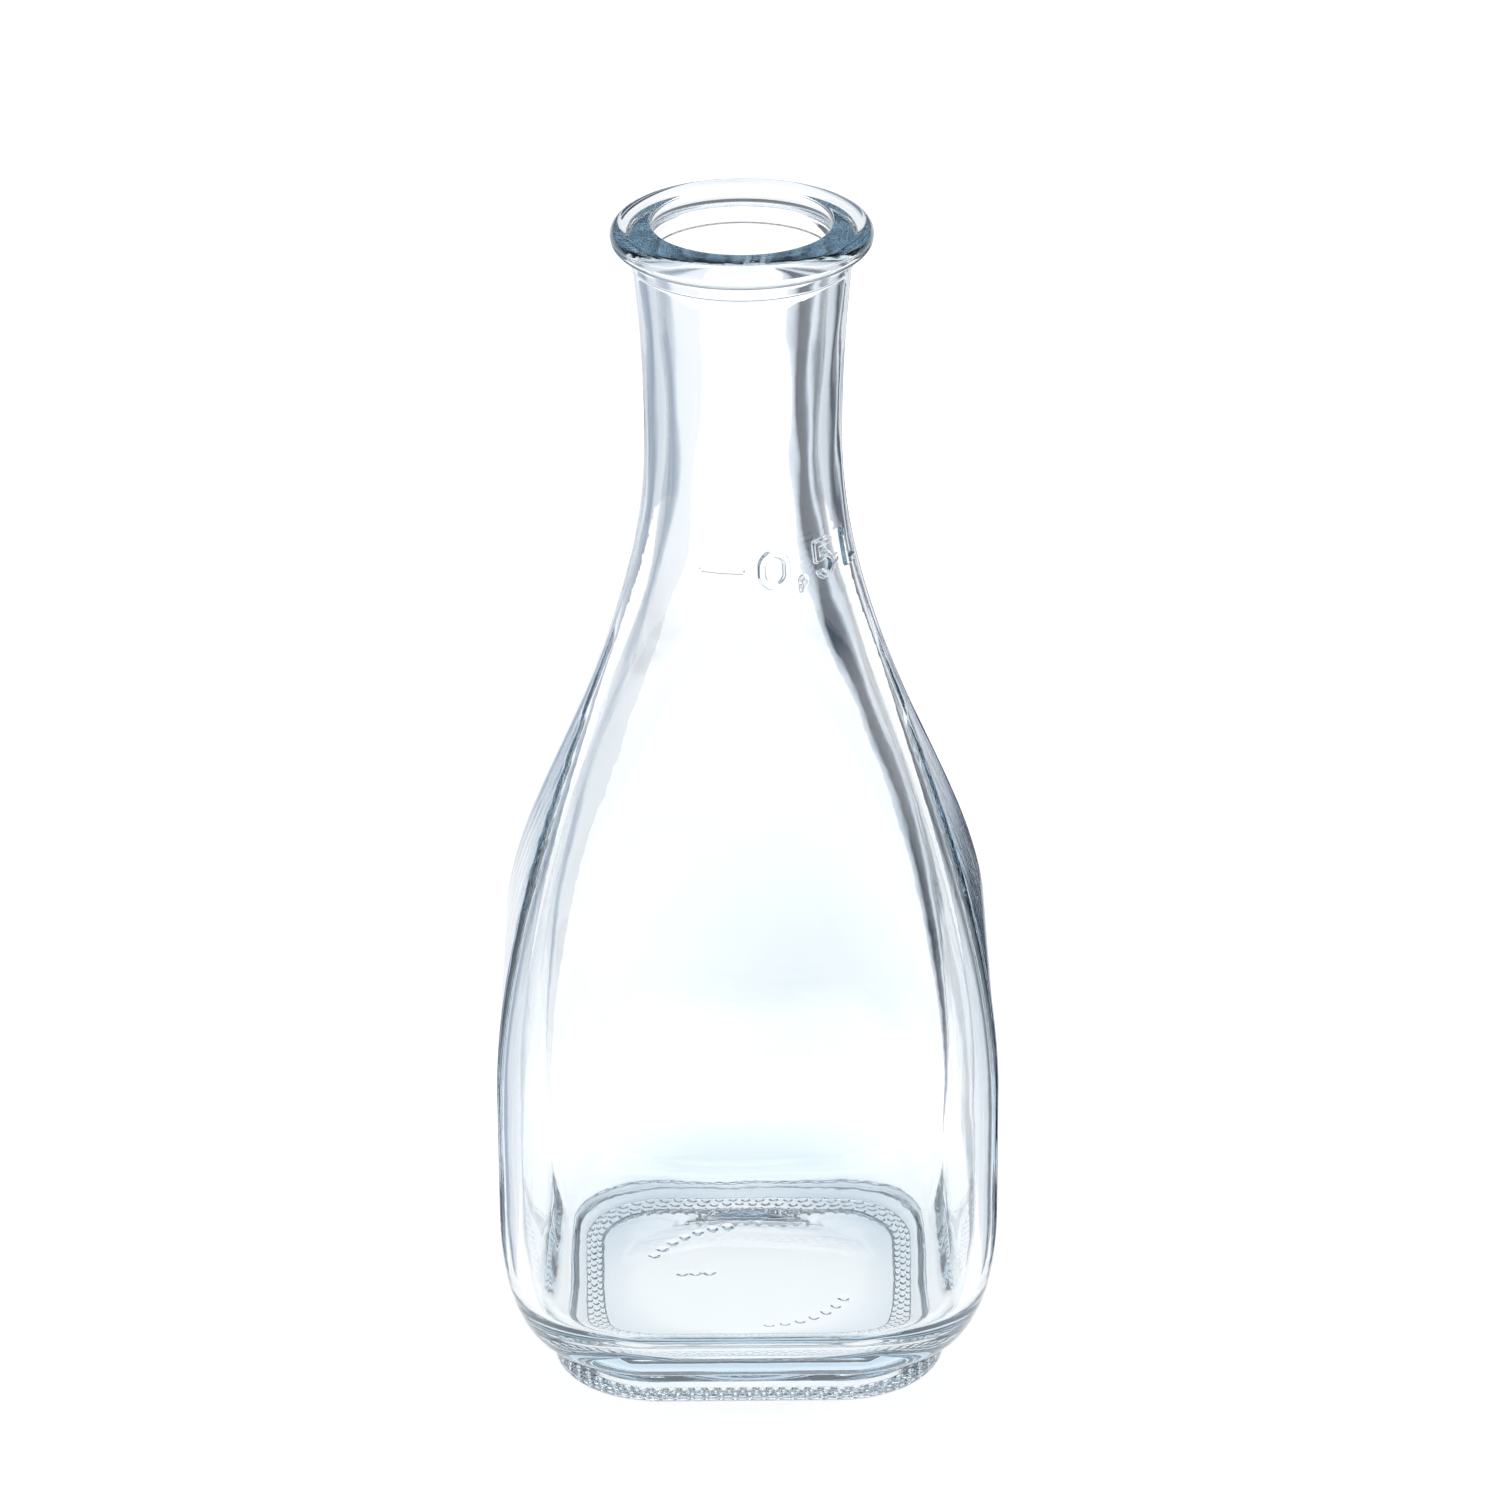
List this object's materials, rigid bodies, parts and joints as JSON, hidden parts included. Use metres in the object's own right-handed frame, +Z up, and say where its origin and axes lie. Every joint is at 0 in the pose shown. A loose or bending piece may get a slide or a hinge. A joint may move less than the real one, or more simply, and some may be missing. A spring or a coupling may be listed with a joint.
{
  "type": "glass bottle",
  "caption": "Clear square glass bottle with rounded corners, sloping shoulders, a round flared neck, a bead lip, a stepped foot and a raised capacity mark.",
  "frame": {"origin": "middle of the resting face under the foot", "axes": "+Z up along the neck axis, -Y towards the front face that carries the fill line"},
  "size_m": [0.082, 0.082, 0.197],
  "materials": {
    "clear_glass": "clear pressed and blown soda-lime glass with a faint cool tint"
  },
  "bodies": {
    "root": {"lip": "clear_glass", "collar": "clear_glass", "neck": "clear_glass", "shoulder": "clear_glass", "body": "clear_glass", "heel_seam": "clear_glass", "heel": "clear_glass", "base": "clear_glass", "foot": "clear_glass", "stippling": "clear_glass", "mould_dots": "clear_glass", "fill_line": "clear_glass", "numeral_zero": "clear_glass", "decimal_comma": "clear_glass", "numeral_five": "clear_glass", "litre_sign": "clear_glass"}
  },
  "joints": []
}
